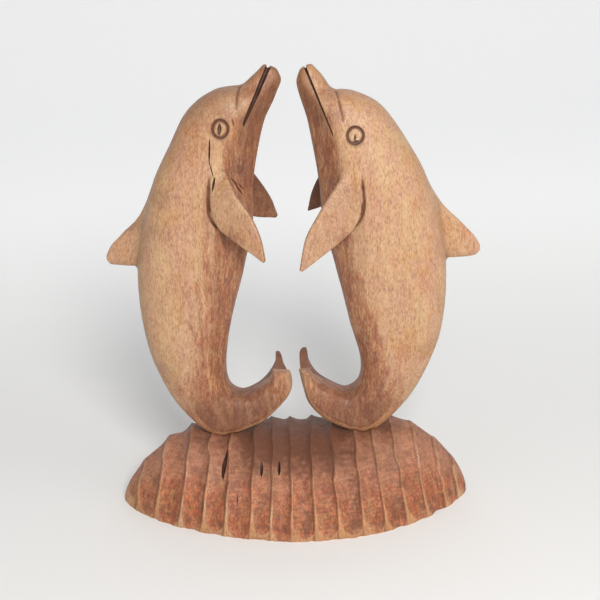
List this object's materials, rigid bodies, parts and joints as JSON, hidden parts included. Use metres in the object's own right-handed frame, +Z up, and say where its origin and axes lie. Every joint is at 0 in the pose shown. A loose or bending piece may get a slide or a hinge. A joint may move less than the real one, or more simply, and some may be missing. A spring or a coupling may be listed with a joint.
{
  "type": "wooden dolphin sculpture",
  "caption": "Carved hardwood sculpture of upright dolphins face to face on a long fluted mound base, hand cut from one block.",
  "frame": {"origin": "centre of the flat underside of the mound", "axes": "+Z up, along the height of the figures; +X to the right-hand dolphin, along the mound; -Y is the side that is seen in front"},
  "size_m": [0.2389, 0.1282, 0.2964],
  "materials": {
    "carved_wood": "hand-carved tan to red-brown hardwood with open pores, thin stain left in the recesses and a soft wax sheen"
  },
  "bodies": {
    "root": {"dolphin_pair": "carved_wood"}
  },
  "joints": []
}
